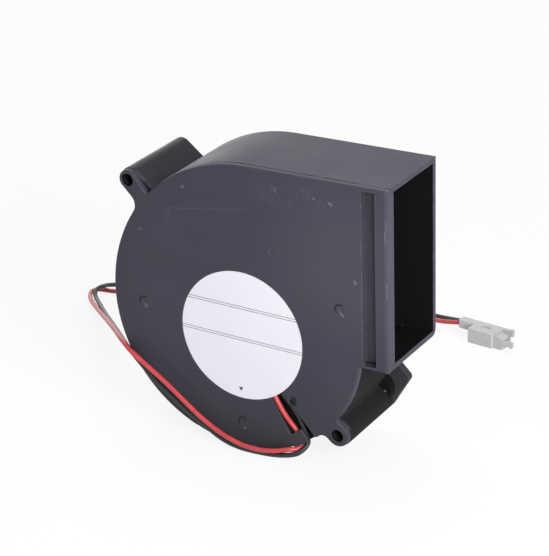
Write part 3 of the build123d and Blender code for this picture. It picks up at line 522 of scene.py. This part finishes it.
def coverPlastic():
    material, tree, shader, colour, roughness = mouldedPlastic("coverBlack")
    across, back, up = placeOnFace(tree)
    onFace = below(tree, back, coverMarks["faceDepth"])

    scale, reach = coverMarks["wobble"]
    wobble = remap(tree, noise(tree, scale, 3.0), -reach, reach)
    marks = addSpecks(tree, across, up, wobble, None)
    marks = addScratches(tree, across, up, wobble, marks)
    marks = times(tree, addResidue(tree, across, up, marks), onFace)
    # painted shade: rim shadows, beside and inside the trough, and the screw holes
    paintedShade = times(tree, addRimAndTroughShadows(tree, across, up), onFace)
    paintedShade = addShadedHollows(tree, across, back, up, paintedShade)

    # painted light: paler towards the duct
    center, reach, core = coverMarks["pale"]
    pale = fade(tree, distanceTo(tree, across, up, center), reach, core)
    colour = blendColours(tree, pale, colour, coverMarks["paintedLightColour"])
    # painted shade: darker and less blue towards the foot
    share, low, high = coverMarks["foot"]
    colour = blendColours(tree, remap(tree, up, share, 0, low, high), colour, coverMarks["footShadeColour"])
    colour = blendColours(tree, edgeWearAndHighlight(tree), colour, mouldings["wornAndHighlitColour"])
    colour = blendColours(tree, paintedShade, colour, mouldings["hollowShadeColour"])
    colour = blendColours(tree, marks, colour, mouldings["scuffColour"])
    finishPlastic(tree, shader, colour, roughness)
    return material


# Hidden and small pieces
plainFinish = {
    "metalRough": (0.8, 1.25),        # shares of a metal's roughness, over its grain
    "metalGrain": (0.00001, 0.4),     # depth, strength
    "plasticPale": 1.12,
    "plasticGrain": (0.00002, 0.5),
}


def metal(name, colour, roughness, grain):
    material, tree, shader = startMaterial(name, colour, roughness)
    shader.inputs["Metallic"].default_value = 1
    value = noise(tree, grain)
    low, high = (roughness * share for share in plainFinish["metalRough"])
    tree.links.new(remap(tree, value, low, high), shader.inputs["Roughness"])
    grainNormal(tree, shader, value, *plainFinish["metalGrain"])
    return material


def plainPlastic(name, colour, roughness, grain=900):
    material, tree, shader = startMaterial(name, colour, roughness)
    value = noise(tree, grain)
    pale = tuple(min(1, channel * plainFinish["plasticPale"]) for channel in colour)
    tree.links.new(blendColours(tree, remap(tree, value, 0, 1), colour, pale), shader.inputs["Base Color"])
    grainNormal(tree, shader, value, *plainFinish["plasticGrain"])
    return material


# Label: plain paper with four rules and one small arrow
labelLook = {
    "paper": (0.85, 0.84, 0.92),
    "shade": (0.82, 0.81, 0.90),
    "cloud": 90,
    "rough": 0.45,
    "fibre": (3000, 0.00001, 0.3),     # scale, depth, strength
    "ink": (0.22, 0.22, 0.26),
    "rules": [(10.0, -0.0282), (9.2, -0.0282), (-0.75, -0.034), (-1.55, -0.034)],   # height, slope
    "ruleHalfWidth": 0.12,
    "arrow": (-0.9, -18.7, 1.4, 0.75),     # across, up, height, half width
    "arrowInk": (0.04, 0.04, 0.05),
}


def labelPaper():
    material, tree, shader = startMaterial("labelPaper", labelLook["paper"], labelLook["rough"])
    across, back, up = placeOnFace(tree)
    ink = None
    for height, slope in labelLook["rules"]:
        away = apart(tree, maths(tree, "MULTIPLY_ADD", across, -slope, up), height)
        ink = larger(tree, ink, below(tree, away, labelLook["ruleHalfWidth"]))
    x, z, height, half = labelLook["arrow"]
    top, tip = z + height / 2, z - height / 2
    rise = times(tree, maths(tree, "SUBTRACT", up, tip), half / height)
    arrow = times(tree, below(tree, apart(tree, across, x), rise), below(tree, up, top))
    colour = mottled(tree, labelLook["cloud"], 3.0, labelLook["shade"], labelLook["paper"])
    colour = blendColours(tree, ink, colour, labelLook["ink"])
    colour = blendColours(tree, arrow, colour, labelLook["arrowInk"])
    tree.links.new(colour, shader.inputs["Base Color"])
    scale, depth, strength = labelLook["fibre"]
    grainNormal(tree, shader, noise(tree, scale), depth, strength)
    return material


def insulation(lead):
    colour = leads[lead + "Colour"]
    material, tree, shader = startMaterial(lead + "Insulation", colour, leads[lead + "Rough"])
    value = noise(tree, leads["mottle"])
    deep = tuple(channel * leads["deepShare"] for channel in colour)
    tree.links.new(blendColours(tree, remap(tree, value, 0, 1), deep, colour), shader.inputs["Base Color"])
    grainNormal(tree, shader, value, *leads["skin"])
    return material


nodeMaterials = {
    "scroll_housing": housingPlastic(),
    "motor_side_cover": coverPlastic(),
    "impeller": impellerPlastic(),
    "label": labelPaper(),
    "connector_housing": plainPlastic("connectorNylon", (0.50, 0.50, 0.51), 0.42),
}
brass = metal("turnedBrass", (0.70, 0.52, 0.24), 0.28, 700)
brightSteel = metal("brightSteel", (0.62, 0.62, 0.64), 0.18, 900)
pressedSteel = metal("pressedSteel", (0.50, 0.50, 0.52), 0.34, 600)
lamination = metal("lamination", (0.36, 0.36, 0.38), 0.42, 1500)
tinned = metal("tinned", (0.66, 0.66, 0.66), 0.3, 800)
nylon = plainPlastic("naturalNylon", (0.68, 0.64, 0.52), 0.45)
chip = plainPlastic("chipBlack", (0.02, 0.02, 0.02), 0.4)
sharedMaterials = [
    (brass, ["bearing_tube", "rotor_bush", "connector_terminals"]),
    (brightSteel, [
        "lower_bearing_outer_ring", "upper_bearing_outer_ring", "lower_bearing_inner_ring",
        "upper_bearing_inner_ring", "lower_bearing_balls", "upper_bearing_balls", "shaft",
    ]),
    (pressedSteel, ["lower_bearing_cage", "upper_bearing_cage", "preload_spring", "rotor_cup"]),
    (lamination, ["stator_core"]),
    (tinned, ["terminal_pins", "solder_posts"]),
    (nylon, ["lower_insulator", "upper_insulator", "retaining_clip", "washer"]),
    (chip, ["driver_ic", "hall_sensor", "resistors"]),
    (plainPlastic("windingEnamel", (0.45, 0.16, 0.05), 0.3, 2400), ["stator_coils"]),
    (plainPlastic("boardGreen", (0.02, 0.13, 0.06), 0.35), ["circuit_board"]),
    (plainPlastic("ceramicBrown", (0.40, 0.28, 0.16), 0.4), ["capacitors"]),
    (plainPlastic("ferrite", (0.05, 0.045, 0.045), 0.6), ["magnet_ring"]),
]
for material, names in sharedMaterials:
    for name in names:
        nodeMaterials[name] = material


def paint(piece, material):
    piece.data.materials.clear()
    piece.data.materials.append(material)


for name, material in nodeMaterials.items():
    paint(nodes[name], material)

# Round pad on the gusset, where the lower boss meets it, with an ejector mark in its face; its near-black
# colour is painted shade under the duct
bossPad = {
    "center": (32.9, -23.2),
    "face": 28.0,         # behind the cover's face
    "foot": 31.0,
    "radius": 5.1,
    "edge": 0.8,
    "sides": 96,
    "edgeSteps": 5,
    "smoothAngle": 40,
    "mark": (35.7, -23.8, 0.75),     # across, up, radius
    "markDot": (0.25, 0.5),          # its pale middle: full up to here, gone from here
    # near black: painted shade under the duct
    "dark": (0.003, 0.003, 0.003),
    "light": (0.005, 0.005, 0.006),
    "mottle": 300,
    "rough": 0.9,
}


def shadedPadPlastic():
    material, tree, shader = startMaterial("shadedPadPlastic", bossPad["light"], bossPad["rough"])
    shader.inputs["Specular IOR Level"].default_value = mouldings["gloss"]
    across, back, up = placeOnFace(tree)
    x, z, radius = bossPad["mark"]
    away = distanceTo(tree, across, up, (x, z))
    colour = mottled(tree, bossPad["mottle"], 2.0, bossPad["dark"], bossPad["light"])
    # painted shade in the ejector mark's hole
    colour = blendColours(tree, below(tree, away, radius), colour, mouldings["hollowShadeColour"])
    dot = remap(tree, away, 1, 0, *bossPad["markDot"])
    colour = blendColours(tree, dot, colour, mouldings["scuffColour"])
    tree.links.new(colour, shader.inputs["Base Color"])
    mouldGrain(tree, shader)
    return material


def addBossPad():
    x, z = bossPad["center"]
    middle = (bossPad["face"] + bossPad["foot"]) / 2
    bpy.ops.object.select_all(action="DESELECT")
    bpy.ops.mesh.primitive_cylinder_add(
        vertices=bossPad["sides"], radius=bossPad["radius"] * mm,
        depth=(bossPad["foot"] - bossPad["face"]) * mm,
        location=fromAxis((x, middle, z)), rotation=(math.pi / 2, 0, 0),
    )
    pad = bpy.context.active_object
    pad.name = "bossPad"
    bpy.ops.object.transform_apply(location=True, rotation=True, scale=True)
    bpy.ops.object.mode_set(mode="EDIT")
    shape = bmesh.from_edit_mesh(pad.data)
    bpy.ops.mesh.select_all(action="DESELECT")
    for face in shape.faces:
        face.select = face.normal.y < -0.9     # the face towards the cover
    bmesh.update_edit_mesh(pad.data)
    bpy.ops.mesh.bevel(offset=bossPad["edge"] * mm, segments=bossPad["edgeSteps"], affect="EDGES")
    bpy.ops.object.mode_set(mode="OBJECT")
    bpy.ops.object.shade_smooth_by_angle(angle=math.radians(bossPad["smoothAngle"]))
    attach(pad, "frame")
    paint(pad, shadedPadPlastic())
    print("boss pad added")


addBossPad()
paint(redLead, insulation("red"))
paint(blackLead, insulation("black"))
print("materials made")

# Studio: a white floor that keeps the object's shadow, a pale world and soft lamps
studio = {
    "floorSize": 8.0,
    "floorDrop": 0.0002,   # below the part, so that the two don't touch
    "floorColour": (0.64, 0.64, 0.64),
    "floorRough": 0.9,
    "floorGlow": 1.1,      # the white that the camera and reflections see
    "shadowShare": 0.22,   # how much of the floor's own shading the camera sees
    "world": 0.38,         # what the world lights the part with
    "lamps": [
        {"name": "keyLamp", "place": (0.42, -0.30, 0.26), "aim": (0, 0, 0.05), "size": 0.3, "power": 3.2},
        {"name": "topLamp", "place": (-0.5, 0.6, 1.25), "aim": (0, 0.1, 0), "size": 1.0, "power": 6.5},
        {"name": "backLamp", "place": (-0.80, 1.10, 0.10), "aim": (0, 0, 0.06), "size": 1.2, "power": 2.4},
        {"name": "lowLamp", "place": (-0.98, 1.00, 0.03), "aim": (0, 0, 0.06), "size": 0.5, "power": 0.8},
    ],
}


def seenOrReflected(tree):
    path = tree.nodes.new("ShaderNodeLightPath")
    reflected = maths(tree, "MAXIMUM", path.outputs["Is Glossy Ray"], path.outputs["Is Transmission Ray"])
    return maths(tree, "MAXIMUM", path.outputs["Is Camera Ray"], reflected)


def addFloor():
    bpy.ops.object.select_all(action="DESELECT")
    bpy.ops.mesh.primitive_plane_add(size=studio["floorSize"], location=(0, 0, 0))
    floor = bpy.context.active_object
    floor.name = "floor"
    for corner in floor.data.vertices:
        corner.co.z -= studio["floorDrop"]
    material, tree, shader = startMaterial("floorWhite", studio["floorColour"], studio["floorRough"])
    shader.inputs["Specular IOR Level"].default_value = 0
    glow = tree.nodes.new("ShaderNodeEmission")
    glow.inputs["Color"].default_value = (1, 1, 1, 1)
    glow.inputs["Strength"].default_value = studio["floorGlow"]
    mix = tree.nodes.new("ShaderNodeMixShader")
    share = times(tree, seenOrReflected(tree), 1 - studio["shadowShare"])
    tree.links.new(share, mix.inputs["Fac"])
    tree.links.new(shader.outputs[0], mix.inputs[1])
    tree.links.new(glow.outputs[0], mix.inputs[2])
    tree.links.new(mix.outputs[0], tree.nodes["Material Output"].inputs["Surface"])
    paint(floor, material)


def addWorld():
    world = bpy.data.worlds.new("studioWorld")
    bpy.context.scene.world = world
    world.use_nodes = True
    tree = world.node_tree
    lit = tree.nodes["Background"]
    seen = tree.nodes.new("ShaderNodeBackground")
    for background, strength in ((lit, studio["world"]), (seen, 1)):
        background.inputs["Color"].default_value = (1, 1, 1, 1)
        background.inputs["Strength"].default_value = strength
    mix = tree.nodes.new("ShaderNodeMixShader")
    tree.links.new(seenOrReflected(tree), mix.inputs["Fac"])
    tree.links.new(lit.outputs[0], mix.inputs[1])
    tree.links.new(seen.outputs[0], mix.inputs[2])
    tree.links.new(mix.outputs[0], tree.nodes["World Output"].inputs["Surface"])


def addLamps():
    for lamp in studio["lamps"]:
        data = bpy.data.lights.new(lamp["name"], "AREA")
        data.size = lamp["size"]
        data.energy = lamp["power"]
        body = bpy.data.objects.new(lamp["name"], data)
        bpy.context.scene.collection.objects.link(body)
        body.visible_camera = False
        body.location = lamp["place"]
        towards = Vector(lamp["aim"]) - Vector(lamp["place"])
        body.rotation_euler = towards.to_track_quat("-Z", "Y").to_euler()


addFloor()
addWorld()
addLamps()
bpy.context.scene.view_settings.view_transform = "Standard"
print("studio lit")
